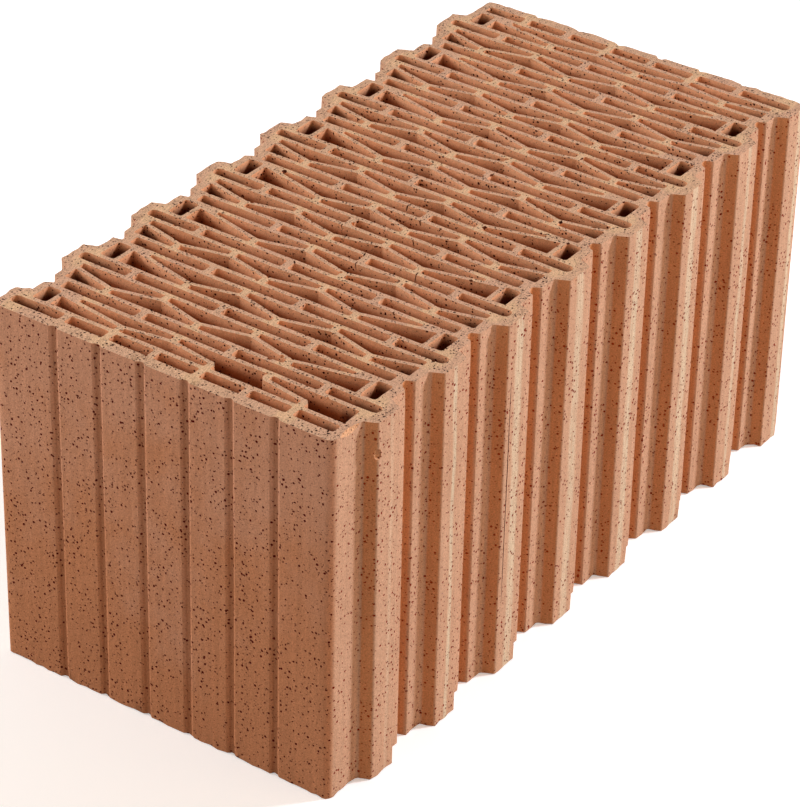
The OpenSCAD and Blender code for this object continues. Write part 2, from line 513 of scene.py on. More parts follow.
    def dress(self, materials: dict[Region, bpy.types.Material]) -> None:
        """Gives each kind of surface its material and ties the block to its body.

        Args:
            materials: The material of each kind of surface.
        """
        for region, material in materials.items():
            self.piece.data.materials[region] = material
        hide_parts(self.node)
        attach(self.piece, "root")


class NodeSheet:
    """A node tree with short calls that add and join nodes.

    Attributes:
        NOISE_ROUGHNESS: Roughness of all soft noise.
    """

    NOISE_ROUGHNESS: float = 0.55

    def __init__(self, tree: bpy.types.NodeTree) -> None:
        """Starts on an empty tree."""
        self.tree = tree
        self.tree.nodes.clear()

    def add(self, kind: str, inputs: dict | None = None, **settings) -> bpy.types.Node:
        """Adds a node.

        Args:
            kind: The node's type, without the prefix ShaderNode.
            inputs: Values or sockets for its inputs, by name or number.
            **settings: Values for the node's own settings.

        Returns:
            The new node.
        """
        node = self.tree.nodes.new(kind if kind.startswith("NodeGroup") else f"ShaderNode{kind}")
        for name, value in settings.items():
            setattr(node, name, value)
        for name, value in (inputs or {}).items():
            self.feed(node.inputs[name], value)
        return node

    def feed(self, socket: Socket, value) -> None:
        """Joins a socket to an input, or sets a plain value on it."""
        if isinstance(value, bpy.types.NodeSocket):
            self.tree.links.new(value, socket)
        elif isinstance(value, tuple) and socket.type == "RGBA":
            socket.default_value = (*value, 1.0)
        else:
            socket.default_value = value

    def math(self, operation: str, first, second=0.0, third=0.0) -> Socket:
        """Adds a sum of up to three values and gives its result."""
        return self.add("Math", {0: first, 1: second, 2: third}, operation=operation).outputs[0]

    def spread(self, value: Socket, low, high, to_low: float = 0.0, to_high: float = 1.0) -> Socket:
        """Maps a value smoothly from one range to another.

        Args:
            value: The value to map.
            low: Start of the range that it is read in.
            high: End of the range that it is read in.
            to_low: What the start becomes.
            to_high: What the end becomes.

        Returns:
            The mapped value.
        """
        inputs = {"Value": value, "From Min": low, "From Max": high, "To Min": to_low, "To Max": to_high}
        return self.add("MapRange", inputs, interpolation_type="SMOOTHSTEP").outputs["Result"]

    def blend(self, factor, first, second, blend_type: str = "MIX") -> Socket:
        """Mixes two colours and gives the result."""
        node = self.add("Mix", data_type="RGBA", blend_type=blend_type)
        self.feed(node.inputs[0], factor)
        self.feed(node.inputs[6], first)
        self.feed(node.inputs[7], second)
        return node.outputs[2]

    def scaled(self, vector: Socket, factors: Colour) -> Socket:
        """Multiplies a vector's parts by three factors."""
        return self.add("VectorMath", {0: vector, 1: factors}, operation="MULTIPLY").outputs[0]

    def use(self, group: bpy.types.NodeTree, inputs: dict) -> dict[str, Socket]:
        """Adds a shared effect.

        Args:
            group: The effect's node group.
            inputs: Values or sockets for its inputs, by name.

        Returns:
            Its outputs by name.
        """
        node = self.add("Group", node_tree=group)
        for label, value in inputs.items():
            self.feed(node.inputs[label], value)
        return {socket.name: socket for socket in node.outputs}

    def noise(self, vector: Socket, scale: float = 1.0, detail: float = 2.0) -> Socket:
        """Adds soft noise and gives its value."""
        inputs = {"Vector": vector, "Scale": scale, "Detail": detail, "Roughness": self.NOISE_ROUGHNESS}
        return self.add("TexNoise", inputs).outputs["Fac"]


class Effects:
    """Surface effects that several materials share, each built once as a node group. All lengths are millimetres.

    Attributes:
        WOBBLE_SCALE: How closely the pores' outlines wobble, as noise per millimetre.
        WOBBLE: How far the pores' outlines wobble.
        CELL_TURN: Turn of the pores' cells in radians, so that they don't follow the block's faces.
        PORE_SIZES: Smallest and largest pore as shares of the given radius.
        PATCH_SCALE: Scale of the patches in which pores gather.
        PATCH_RANGE: Range of the noise over which a patch fades.
        PATCH_SIZES: Factors for the pores outside and inside a patch.
        PORE_FLOOR: Share of a pore's radius that is as deep as its middle.
        GRAIN: Scale and detail of the sandy grain.
        LUMPS: Scale and detail of the soft lumps.
        SLOW: Scale and detail of the slow colour drift.
        SLOW_RANGE: Range of the noise over which the colour drifts.
        LINE_STRETCH: Factors that draw the drag lines out upwards.
    """

    WOBBLE_SCALE: float = 0.8
    WOBBLE: float = 0.9
    CELL_TURN: Place = (0.5, 0.8, 0.3)
    PORE_SIZES: Span = (0.55, 1.0)
    PATCH_SCALE: float = 0.06
    PATCH_RANGE: Span = (0.32, 0.62)
    PATCH_SIZES: Span = (0.72, 1.1)
    PORE_FLOOR: float = 0.76
    GRAIN: Span = (1.1, 3.0)
    LUMPS: Span = (0.3, 2.0)
    SLOW: Span = (0.018, 3.0)
    SLOW_RANGE: Span = (0.32, 0.68)
    LINE_STRETCH: Place = (1.0, 1.0, 0.03)

    def __init__(self) -> None:
        """Builds the groups."""
        self.pores = self.pore_group()
        self.grain = self.grain_group()
        self.drawn = self.drawn_group()

    @staticmethod
    def start(
        name: str, inputs: dict[str, str], outputs: list[str]
    ) -> tuple[NodeSheet, dict[str, Socket], bpy.types.Node]:
        """Opens a new group.

        Args:
            name: The group's name.
            inputs: Its inputs and their socket types.
            outputs: Its outputs, which are values.

        Returns:
            The group's sheet, its inputs by name and its output node.
        """
        tree = bpy.data.node_groups.new(name, "ShaderNodeTree")
        for label, kind in inputs.items():
            tree.interface.new_socket(name=label, in_out="INPUT", socket_type=kind)
        for label in outputs:
            tree.interface.new_socket(name=label, in_out="OUTPUT", socket_type="NodeSocketFloat")
        sheet = NodeSheet(tree)
        entry = sheet.add("NodeGroupInput")
        leave = sheet.add("NodeGroupOutput")
        return sheet, {label: entry.outputs[label] for label in inputs}, leave

    def pore_group(self) -> bpy.types.NodeTree:
        """Builds scattered round pores that gather loosely in patches.

        Returns:
            The group, whose mask is 1 inside a pore.
        """
        inputs = {"Place": "NodeSocketVector", "Spacing": "NodeSocketFloat", "Radius": "NodeSocketFloat"}
        sheet, given, leave = self.start("clay_pores", inputs, ["Mask"])
        noise = {"Vector": given["Place"], "Scale": self.WOBBLE_SCALE, "Detail": 1.0}
        wobble = sheet.add("TexNoise", noise).outputs["Color"]
        shift = sheet.add("VectorMath", {0: wobble, "Scale": self.WOBBLE}, operation="SCALE").outputs[0]
        place = sheet.add("VectorMath", {0: given["Place"], 1: shift}, operation="ADD").outputs[0]
        turn = {"Vector": place, "Rotation": self.CELL_TURN}
        place = sheet.add("VectorRotate", turn, rotation_type="EULER_XYZ").outputs[0]
        per_cell = sheet.math("DIVIDE", 1.0, given["Spacing"])
        cell_place = sheet.add("VectorMath", {0: place, "Scale": per_cell}, operation="SCALE").outputs[0]
        cells = sheet.add("TexVoronoi", {"Vector": cell_place, "Scale": 1.0, "Randomness": 1.0}, feature="F1")
        draw = sheet.add("SeparateColor", {0: cells.outputs["Color"]})
        size = sheet.spread(draw.outputs[0], 0.0, 1.0, *self.PORE_SIZES)
        patch_noise = sheet.noise(given["Place"], self.PATCH_SCALE)
        patches = sheet.spread(patch_noise, *self.PATCH_RANGE, *self.PATCH_SIZES)
        radius = sheet.math("MULTIPLY", sheet.math("MULTIPLY", given["Radius"], size), patches)
        distance = sheet.math("MULTIPLY", cells.outputs["Distance"], given["Spacing"])
        inner = sheet.math("MULTIPLY", radius, self.PORE_FLOOR)
        sheet.feed(leave.inputs["Mask"], sheet.spread(distance, inner, radius, 1.0, 0.0))
        return sheet.tree

    def grain_group(self) -> bpy.types.NodeTree:
        """Builds the sandy grain, the soft lumps and the slow colour drift of fired clay.

        Returns:
            The group, with values about 0.5.
        """
        sheet, given, leave = self.start("clay_grain", {"Place": "NodeSocketVector"}, ["Fine", "Lumps", "Slow"])
        sheet.feed(leave.inputs["Fine"], sheet.noise(given["Place"], *self.GRAIN))
        sheet.feed(leave.inputs["Lumps"], sheet.noise(given["Place"], *self.LUMPS))
        slow = sheet.noise(given["Place"], *self.SLOW)
        sheet.feed(leave.inputs["Slow"], sheet.spread(slow, *self.SLOW_RANGE))
        return sheet.tree

    def drawn_group(self) -> bpy.types.NodeTree:
        """Builds the upright drag lines that the mouthpiece leaves.

        Returns:
            The group, with a value about 0.5.
        """
        inputs = {"Place": "NodeSocketVector", "Width": "NodeSocketFloat"}
        sheet, given, leave = self.start("drawn_lines", inputs, ["Line"])
        per_line = sheet.math("DIVIDE", 1.0, given["Width"])
        flat = sheet.scaled(given["Place"], self.LINE_STRETCH)
        place = sheet.add("VectorMath", {0: flat, "Scale": per_line}, operation="SCALE").outputs[0]
        sheet.feed(leave.inputs["Line"], sheet.noise(place, 1.0, 2.0))
        return sheet.tree


@dataclass(frozen=True)
class ClayFinish:
    """One finish of the fired clay.

    Attributes:
        name: The material's name.
        body: Main colour.
        drift: Colour that it drifts to over some centimetres.
        pore: Colour inside the pores.
        pore_spacing: Typical distance between large pores in millimetres.
        pore_radius: Radius of the largest pores in millimetres.
        pit_spacing: Typical distance between small pits in millimetres.
        pit_radius: Radius of the largest small pits in millimetres.
        pit_tone: How strongly the small pits show.
        fine_tone: How much the fine grain changes the colour.
        line_tone: How much the drag lines change the colour.
        line_width: Width of the drag lines in millimetres.
        grain_relief: Height of the fine grain in millimetres.
        lump_relief: Height of the soft lumps in millimetres.
        roughness: Roughness of the surface.
        gloss: Strength of the surface's mirror part.
        tone_range: Range of the noise over which a tone goes from dark to light.
    """

    name: str
    body: Colour
    drift: Colour
    pore: Colour
    pore_spacing: float = 2.85
    pore_radius: float = 0.86
    pit_spacing: float = 1.9
    pit_radius: float = 0.4
    pit_tone: float = 0.6
    fine_tone: float = 0.16
    line_tone: float = 0.06
    line_width: float = 3.0
    grain_relief: float = 0.06
    lump_relief: float = 0.42
    roughness: float = 0.88
    gloss: float = 0.1
    tone_range: Span = (0.25, 0.75)

    def make(self, effects: Effects) -> bpy.types.Material:
        """Makes the material.

        Args:
            effects: The shared node groups.

        Returns:
            The finished material.
        """
        material = bpy.data.materials.new(self.name)
        material.use_nodes = True
        sheet = NodeSheet(material.node_tree)
        place = sheet.scaled(sheet.add("TexCoord").outputs["Object"], (1 / MM, 1 / MM, 1 / MM))
        grain = sheet.use(effects.grain, {"Place": place})
        lines = sheet.use(effects.drawn, {"Place": place, "Width": self.line_width})
        pore_sizes = {"Place": place, "Spacing": self.pore_spacing, "Radius": self.pore_radius}
        pores = sheet.use(effects.pores, pore_sizes)["Mask"]
        pit_sizes = {"Place": place, "Spacing": self.pit_spacing, "Radius": self.pit_radius}
        pits = sheet.use(effects.pores, pit_sizes)["Mask"]
        colour = sheet.blend(grain["Slow"], self.body, self.drift)
        colour = self.extra_colour(sheet, place, colour)
        colour = self.shade(sheet, colour, grain["Fine"], self.fine_tone)
        colour = self.shade(sheet, colour, lines["Line"], self.line_tone)
        pore = self.pore_colour(sheet, place)
        colour = sheet.blend(sheet.math("MULTIPLY", pits, self.pit_share(sheet, place)), colour, pore)
        colour = sheet.blend(pores, colour, pore)
        height = sheet.math("MULTIPLY", grain["Fine"], self.grain_relief)
        height = sheet.math("MULTIPLY_ADD", grain["Lumps"], self.lump_relief, height)
        height = sheet.math("MULTIPLY_ADD", pits, -self.pit_radius, height)
        height = sheet.math("MULTIPLY_ADD", pores, -self.pore_radius, height)
        bump = sheet.add("Bump", {"Height": height, "Strength": 1.0, "Distance": MM})
        shader = sheet.add("BsdfPrincipled", {"Base Color": colour, "Roughness": self.roughness})
        sheet.feed(shader.inputs["Normal"], bump.outputs["Normal"])
        shader.inputs["Specular IOR Level"].default_value = self.gloss
        leave = sheet.add("OutputMaterial")
        sheet.feed(leave.inputs["Surface"], shader.outputs["BSDF"])
        return material

    def shade(self, sheet: NodeSheet, colour: Socket, tone: Socket, strength: float) -> Socket:
        """Darkens and lightens a colour a little by a tone about 0.5."""
        factor = sheet.spread(tone, *self.tone_range, 1.0 - strength, 1.0 + strength)
        return sheet.blend(1.0, colour, factor, "MULTIPLY")

    def extra_colour(self, sheet: NodeSheet, place: Socket, colour: Socket) -> Socket:
        """Adds what one finish alone has."""
        return colour

    def pore_colour(self, sheet: NodeSheet, place: Socket) -> Socket | Colour:
        """Gives the colour inside the pores, which may change over the block."""
        return self.pore

    def pit_share(self, sheet: NodeSheet, place: Socket) -> Socket | float:
        """Gives how strongly the small pits show, which may change over the block."""
        return self.pit_tone


@dataclass(frozen=True)
class HoleFinish(ClayFinish):
    """The walls of the holes, with painted shade: darker inside than near the beds, most of all beside the two
    sides.

    Attributes:
        half_height: Half the height of the block in millimetres.
        inside: Factors for the colour inside, which paint shade there.
        fade: Depth over which the colour changes into the painted shade, in millimetres.
        side_from: Distance from the middle where the holes beside the sides begin, in millimetres.
        side_full: Distance from the middle from which the holes are as dark as those, in millimetres.
        side_painted_shade: Factors for the colour inside the holes beside the sides, which paint deeper shade
            there.
        side_shade_depth: Depth over which their colour changes into the painted shade, in millimetres.
    """

    half_height: float = 124.5
    inside: Colour = (0.39, 0.18, 0.09)
    fade: float = 9.5
    side_from: float = 97.0
    side_full: float = 103.0
    side_painted_shade: Colour = (0.16, 0.06, 0.03)
    side_shade_depth: float = 7.5

    def extra_colour(self, sheet: NodeSheet, place: Socket, colour: Socket) -> Socket:
        """Paints shade: darkens the colour with the distance from the nearer bed, most of all in the holes beside
        the sides.
        """
        parts = sheet.add("SeparateXYZ", {0: place}).outputs
        off_middle = sheet.math("ABSOLUTE", sheet.math("SUBTRACT", parts["Z"], self.half_height))
        depth = sheet.math("SUBTRACT", self.half_height, off_middle)
        side = sheet.spread(sheet.math("ABSOLUTE", parts["Y"]), self.side_from, self.side_full)
        fade = sheet.spread(side, 0.0, 1.0, self.fade, self.side_shade_depth)
        # Painted shade: deep in the holes the colour is darkened, more so beside the sides.
        darker = sheet.blend(1.0, colour, sheet.blend(side, self.inside, self.side_painted_shade), "MULTIPLY")
        return sheet.blend(sheet.spread(depth, 0.0, fade), colour, darker)


@dataclass(frozen=True)
class DrawnFinish(ClayFinish):
    """The outer skin: painted shade on the tongues' flanks, in the notches and on the floor of the end faces'
    grooves, end faces in a tone of their own that is partly painted shade, and pale bloom streaks down the
    tongues.

    Attributes:
        lit_side_pore: Colour inside the pores of the two sides, painted lighter and redder than on the end faces,
            as lit pores look.
        pore_in_painted_shade: Colour inside the pores on the tongues' flanks and in the notches, lighter there
            because shade is painted around them.
        end_body: Main colour of the end faces, darker and redder than the sides', partly as painted shade.
        end_drift: Colour that the end faces drift to, mostly near the top.
        end_rise: How much the drift grows with each millimetre of height.
        end_rise_start: How far the drift is held back at the bottom.
        end_patches: Scale and detail of the drift's patches.
        end_patch_range: Range of the noise over which a patch fades.
        painted_shade: Factors of the painted shade on the tongues' flanks and in the notches.
        notch_range: Distances from the middle between which the painted shade in the notches fades, in
            millimetres.
        foot_range: Distances from the middle between which the painted shade on the flanks begins, in millimetres.
        head_range: Distances from the middle between which the painted shade on the flanks ends, in millimetres.
        groove_shade: Factors of the painted shade on the floor of the end faces' grooves.
        groove_top: Distance from the middle where the painted shade on the floor begins, in millimetres.
        groove_floor: Distance of the grooves' floor from the middle in millimetres.
        groove_zone: Half the width of the part of the end face that has grooves, in millimetres.
        end_from: Distance from the middle where the end faces' tone begins, in millimetres.
        end_full: Distance from the middle where it is full, in millimetres.
        bloom: Colour of the bloom.
        bloom_from: Distance from the middle where the tongues' flat faces begin, in millimetres.
        tongue_start: Place of the first tongue along the block in millimetres.
        tongue_pitch: Distance between tongues in millimetres.
        streak_seed: Start number of the random draws for the streaks.
        sway: Full swing of a streak to either side, in millimetres.
        sway_scale: Scale of that swing along the block's axes.
        streak_off: Least and largest distance of a streak from its tongue's middle, in millimetres.
        streak_half: Least and largest half width of a streak in millimetres.
        streak_core: Share of the half width that has full strength.
        torn_scale: Scale of the gaps in a streak along the block's axes.
        torn_range: Range of the noise over which a gap fades.
        torn_tone: Strength of the bloom in a gap.
        least_bloom: Strength of the faintest streak.
    """

    lit_side_pore: Colour = srgb(138, 36, 6)
    pore_in_painted_shade: Colour = srgb(164, 62, 22)
    end_body: Colour = srgb(206, 138, 98)
    end_drift: Colour = srgb(214, 154, 122)
    end_rise: float = 0.0022
    end_rise_start: float = -0.3
    end_patches: Span = (0.022, 3.0)
    end_patch_range: Span = (0.3, 0.8)
    painted_shade: Colour = (1.03, 0.775, 0.54)
    notch_range: Span = (115.6, 117.4)
    foot_range: Span = (118.6, 120.0)
    head_range: Span = (125.2, 126.4)
    groove_shade: Colour = (0.8, 0.74, 0.68)
    groove_top: float = 249.2
    groove_floor: float = 248.3
    groove_zone: float = 110.0
    end_from: float = 244.5
    end_full: float = 249.0
    bloom: Colour = srgb(225, 203, 173)
    bloom_from: float = 125.0
    tongue_start: float = -208.5
    tongue_pitch: float = 64.154
    streak_seed: float = 49880.0
    sway: float = 5.0
    sway_scale: Place = (0.012, 0.012, 0.02)
    streak_off: Span = (0.6, 3.4)
    streak_half: Span = (2.0, 5.2)
    streak_core: float = 0.4
    torn_scale: Place = (0.8, 0.8, 0.05)
    torn_range: Span = (0.3, 0.6)
    torn_tone: float = 0.4
    least_bloom: float = 0.3

    def extra_colour(self, sheet: NodeSheet, place: Socket, colour: Socket) -> Socket:
        """Adds the painted shade of the recesses, the end faces' tone, which is partly painted shade, the painted
        shade on their grooves' floor, and the bloom.
        """
        parts = sheet.add("SeparateXYZ", {0: place}).outputs
        # Painted shade: the flanks and notch walls before each tongue are darkened and reddened.
        painted_shade = sheet.blend(1.0, colour, self.painted_shade, "MULTIPLY")
        colour = sheet.blend(self.painted_shade_mask(sheet, parts), colour, painted_shade)
        # The end faces' tone, darker and redder than the sides': partly their own, partly painted shade.
        rise = sheet.math("MULTIPLY_ADD", parts["Z"], self.end_rise, self.end_rise_start)
        patches = sheet.math("ADD", sheet.noise(place, *self.end_patches), rise)
        patches = sheet.spread(patches, *self.end_patch_range)
        end_tone = sheet.blend(patches, self.end_body, self.end_drift)
        colour = sheet.blend(self.end_mask(sheet, parts), colour, end_tone)
        # Painted shade on the floor of the end faces' grooves.
        floor = sheet.blend(1.0, colour, self.groove_shade, "MULTIPLY")
        colour = sheet.blend(self.groove_shade_mask(sheet, parts), colour, floor)
        return sheet.blend(self.bloom_mask(sheet, place, parts), colour, self.bloom)

    def pore_colour(self, sheet: NodeSheet, place: Socket) -> Socket:
        """Makes the pores of the end faces darker than those of the sides and of their recesses: painted shade on
        the end faces, painted light on the sides.
        """
        parts = sheet.add("SeparateXYZ", {0: place}).outputs
        # Painted light and shade: the sides' pores are lighter and redder than the end faces' pores.
        side = sheet.blend(self.painted_shade_mask(sheet, parts), self.lit_side_pore, self.pore_in_painted_shade)
        return sheet.blend(self.end_mask(sheet, parts), side, self.pore)

    def end_mask(self, sheet: NodeSheet, parts) -> Socket:
        """Marks the two end faces."""
        return sheet.spread(sheet.math("ABSOLUTE", parts["X"]), self.end_from, self.end_full)

    def groove_shade_mask(self, sheet: NodeSheet, parts) -> Socket:
        """Marks the floor of the grooves in the two end faces, where shade is painted."""
        deep = sheet.spread(sheet.math("ABSOLUTE", parts["X"]), self.groove_floor, self.groove_top, 1.0, 0.0)
        inside = sheet.math("LESS_THAN", sheet.math("ABSOLUTE", parts["Y"]), self.groove_zone)
        return sheet.math("MULTIPLY", deep, inside)

    def tongue_place(self, sheet: NodeSheet, parts) -> tuple[Socket, Socket, Socket]:
        """Finds the nearest tongue on either side of the block.

        Args:
            sheet: The material's sheet.
            parts: The place's parts X, Y and Z.

        Returns:
            The side as -1 or 1, the tongue's number and the distance from its middle in millimetres.
        """
        side = sheet.math("SIGN", parts["Y"])
        along = sheet.math("MULTIPLY", parts["X"], sheet.math("MULTIPLY", side, -1.0))
        count = sheet.math("DIVIDE", sheet.math("SUBTRACT", along, self.tongue_start), self.tongue_pitch)
        number = sheet.math("ROUND", count)
        off_middle = sheet.math("MULTIPLY", sheet.math("SUBTRACT", count, number), self.tongue_pitch)
        return side, number, off_middle

    def painted_shade_mask(self, sheet: NodeSheet, parts) -> Socket:
        """Marks where shade is painted: the flanks and notch walls before each tongue, which look away from the
        next tongue.
        """
        depth = sheet.math("ABSOLUTE", parts["Y"])
        notch = sheet.spread(depth, *self.notch_range, 1.0, 0.0)
        above = sheet.spread(depth, *self.foot_range)
        below = sheet.spread(depth, *self.head_range, 1.0, 0.0)
        painted_shade = sheet.math("MAXIMUM", notch, sheet.math("MULTIPLY", above, below))
        before = sheet.math("LESS_THAN", self.tongue_place(sheet, parts)[2], 0.0)
        return sheet.math("MULTIPLY", painted_shade, before)

    def bloom_mask(self, sheet: NodeSheet, place: Socket, parts) -> Socket:
        """Builds one wavering streak on each tongue, each with its own place, width and strength.

        Args:
            sheet: The material's sheet.
            place: The place on the block in millimetres.
            parts: The place's parts X, Y and Z.

        Returns:
            The strength of the bloom from 0 to 1.
        """
        side, number, off_middle = self.tongue_place(sheet, parts)
        seed = sheet.math("MULTIPLY_ADD", side, self.streak_seed, number)
        draw = sheet.add("TexWhiteNoise", {"W": seed}, noise_dimensions="1D")
        draws = sheet.add("SeparateColor", {0: draw.outputs["Color"]}).outputs
        sway_noise = sheet.noise(sheet.scaled(place, self.sway_scale))
        sway = sheet.math("MULTIPLY_ADD", sway_noise, self.sway, -self.sway / 2)
        middle = sheet.math("ADD", sheet.spread(draws[0], 0.0, 1.0, *self.streak_off), sway)
        half_width = sheet.spread(draws[1], 0.0, 1.0, *self.streak_half)
        distance = sheet.math("ABSOLUTE", sheet.math("SUBTRACT", off_middle, middle))
        share = sheet.math("DIVIDE", distance, half_width)
        streak = sheet.spread(share, self.streak_core, 1.0, 1.0, 0.0)
        torn_noise = sheet.noise(sheet.scaled(place, self.torn_scale), detail=4.0)
        torn = sheet.spread(torn_noise, *self.torn_range, self.torn_tone, 1.0)
        strength = sheet.spread(draws[2], 0.0, 1.0, self.least_bloom, 1.0)
        on_tongue = sheet.math("GREATER_THAN", sheet.math("ABSOLUTE", parts["Y"]), self.bloom_from)
        shape = sheet.math("MULTIPLY", streak, torn)
        return sheet.math("MULTIPLY", shape, sheet.math("MULTIPLY", strength, on_tongue))


@dataclass(frozen=True)
class GroundFinish(ClayFinish):
    """A ground bed: paler where the webs are thick, with short strokes from the grinding wheel.

    Attributes:
        thick: Colour over the thick nodes between the webs.
        column_start: Place of the first even column of slots along the block in millimetres.
        column_pitch: Distance between columns in millimetres.
        row_pitch: Distance between rows in millimetres.
        stroke_turn: Direction of the strokes in degrees from the block's length.
        stroke_tone: How much the strokes change the colour.
        stroke_scale: Scale of the strokes along and across their direction and in height.
        node_pit_tone: How strongly the small pits show on the nodes.
        row_start: Number of the row, counted in row pitches, that lies in the block's middle.
        node_reach: Shares by which a node's width along and across the block count.
        node_range: Distances, counted so, between which a node's tone fades.
    """

    thick: Colour = srgb(214, 173, 136)
    column_start: float = -208.5
    column_pitch: float = 32.077
    row_pitch: float = 32.6
    stroke_turn: float = 12.0
    stroke_tone: float = 0.12
    stroke_scale: Place = (0.13, 1.1, 0.1)
    node_pit_tone: float = 0.15
    row_start: float = 1.5
    node_reach: Span = (2.4, 5.0)
    node_range: Span = (0.7, 1.3)

    def extra_colour(self, sheet: NodeSheet, place: Socket, colour: Socket) -> Socket:
        """Adds the tone of the thick nodes and the grinding strokes."""
        colour = sheet.blend(self.node_mask(sheet, place), colour, self.thick)
        turn = {"Vector": place, "Angle": math.radians(-self.stroke_turn)}
        turned = sheet.add("VectorRotate", turn, rotation_type="Z_AXIS").outputs[0]
        strokes = sheet.noise(sheet.scaled(turned, self.stroke_scale))
        return self.shade(sheet, colour, strokes, self.stroke_tone)

    def pit_share(self, sheet: NodeSheet, place: Socket) -> Socket:
        """Leaves the thick nodes almost free of small pits."""
        return sheet.spread(self.node_mask(sheet, place), 0.0, 1.0, self.pit_tone, self.node_pit_tone)

    def node_mask(self, sheet: NodeSheet, place: Socket) -> Socket:
        """Marks the nodes, which lie like the dark squares of a chessboard.

        Args:
            sheet: The material's sheet.
            place: The place on the block in millimetres.

        Returns:
            A value that is 1 on a node and 0 between nodes.
        """
        parts = sheet.add("SeparateXYZ", {0: place}).outputs
        column = sheet.math("DIVIDE", sheet.math("SUBTRACT", parts["X"], self.column_start), self.column_pitch)
        row = sheet.math("ADD", sheet.math("DIVIDE", parts["Y"], self.row_pitch), self.row_start)
        rising = sheet.math("MULTIPLY", sheet.math("ADD", column, row), 0.5)
        falling = sheet.math("MULTIPLY", sheet.math("SUBTRACT", column, row), 0.5)
        rise_off = sheet.math("SUBTRACT", rising, sheet.math("ROUND", rising))
        fall_off = sheet.math("SUBTRACT", falling, sheet.math("ROUND", falling))
        column_off = sheet.math("MULTIPLY", sheet.math("ADD", rise_off, fall_off), self.node_reach[0])
        row_off = sheet.math("MULTIPLY", sheet.math("SUBTRACT", rise_off, fall_off), self.node_reach[1])
        column_square = sheet.math("MULTIPLY", column_off, column_off)
        row_square = sheet.math("MULTIPLY", row_off, row_off)
        distance = sheet.math("SQRT", sheet.math("ADD", column_square, row_square))
        return sheet.spread(distance, *self.node_range, 1.0, 0.0)


@dataclass(frozen=True)
class Lamp:
    """A soft square lamp that shines on the block.

    Attributes:
        name: Name of the lamp.
        azimuth: Its direction in degrees, as for the camera.
        elevation: Its height over the horizon in degrees.
        distance: Its distance from the block.
        size: Length of its sides.
        power: Its power in watts.
        colour: Colour of its light.
    """

    name: str
    azimuth: float
    elevation: float
    distance: float
    size: float
    power: float
    colour: Colour = WHITE


LAMPS: tuple[Lamp, ...] = (
    Lamp("key", azimuth=47, elevation=36, distance=4.5, size=0.6, power=162, colour=(0.93, 1.0, 1.11)),
    Lamp("side", azimuth=-160, elevation=25, distance=1.8, size=0.5, power=16),
    Lamp("left", azimuth=-112, elevation=40, distance=1.7, size=1.5, power=5.5),
    Lamp("front", azimuth=10, elevation=15, distance=3.5, size=2.4, power=38, colour=(1.0, 0.65, 0.4)),
)


